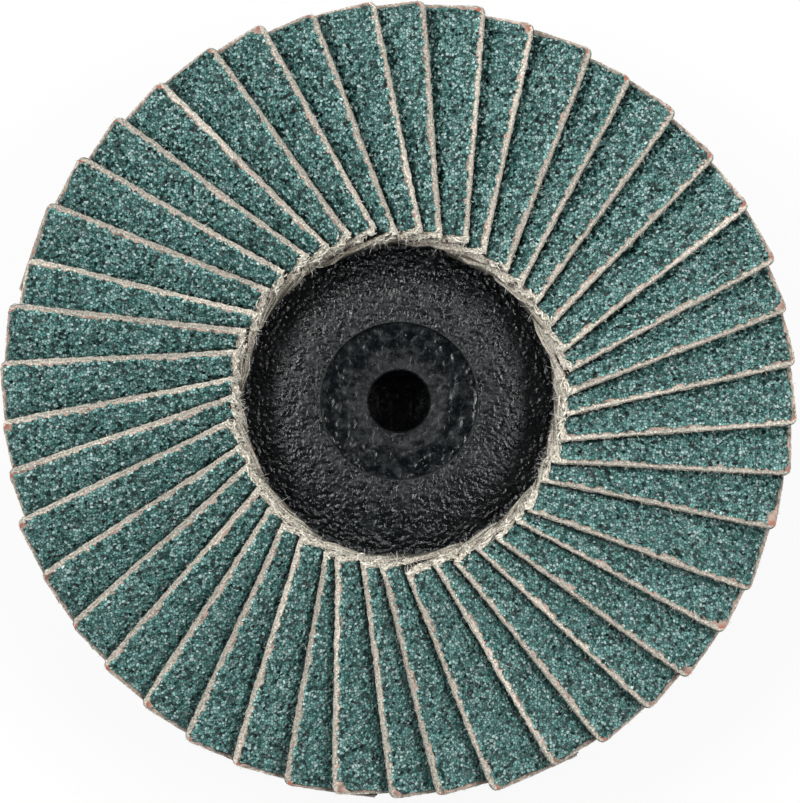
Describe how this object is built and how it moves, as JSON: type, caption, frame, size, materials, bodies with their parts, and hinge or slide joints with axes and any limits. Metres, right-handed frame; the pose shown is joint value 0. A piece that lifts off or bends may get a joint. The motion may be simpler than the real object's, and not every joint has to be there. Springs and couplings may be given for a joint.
{
  "type": "flap disc",
  "caption": "Small round flap disc: a ring of overlapping teal-green abrasive cloth flaps on a black moulded plate with a coarse quick-change stud.",
  "frame": {"origin": "centre of the stud's end face, on which the disc stands", "axes": "+Z along the disc's axis, out of the working side; +Y towards the top of the picture, +X to its right"},
  "size_m": [0.0749, 0.075, 0.0181],
  "materials": {
    "plate_plastic": "black moulded plastic with a fine grain",
    "resin": "cast resin, dull",
    "abrasive_cloth": "coated with teal-green grain, cut edges of cream cloth"
  },
  "bodies": {
    "root": {"backing_plate": "plate_plastic", "adhesive_bed": "resin", "flap_01": "abrasive_cloth", "flap_02": "abrasive_cloth", "flap_03": "abrasive_cloth", "flap_04": "abrasive_cloth", "flap_05": "abrasive_cloth", "flap_06": "abrasive_cloth", "flap_07": "abrasive_cloth", "flap_08": "abrasive_cloth", "flap_09": "abrasive_cloth", "flap_10": "abrasive_cloth", "flap_11": "abrasive_cloth", "flap_12": "abrasive_cloth", "flap_13": "abrasive_cloth", "flap_14": "abrasive_cloth", "flap_15": "abrasive_cloth", "flap_16": "abrasive_cloth", "flap_17": "abrasive_cloth", "flap_18": "abrasive_cloth", "flap_19": "abrasive_cloth", "flap_20": "abrasive_cloth", "flap_21": "abrasive_cloth", "flap_22": "abrasive_cloth", "flap_23": "abrasive_cloth", "flap_24": "abrasive_cloth", "flap_25": "abrasive_cloth", "flap_26": "abrasive_cloth", "flap_27": "abrasive_cloth", "flap_28": "abrasive_cloth", "flap_29": "abrasive_cloth", "flap_30": "abrasive_cloth", "flap_31": "abrasive_cloth", "flap_32": "abrasive_cloth", "flap_33": "abrasive_cloth", "flap_34": "abrasive_cloth", "flap_35": "abrasive_cloth", "flap_36": "abrasive_cloth", "flap_37": "abrasive_cloth", "flap_38": "abrasive_cloth", "flap_39": "abrasive_cloth", "flap_40": "abrasive_cloth", "flap_41": "abrasive_cloth", "flap_42": "abrasive_cloth", "flap_43": "abrasive_cloth", "flap_44": "abrasive_cloth", "flap_45": "abrasive_cloth"}
  },
  "joints": []
}
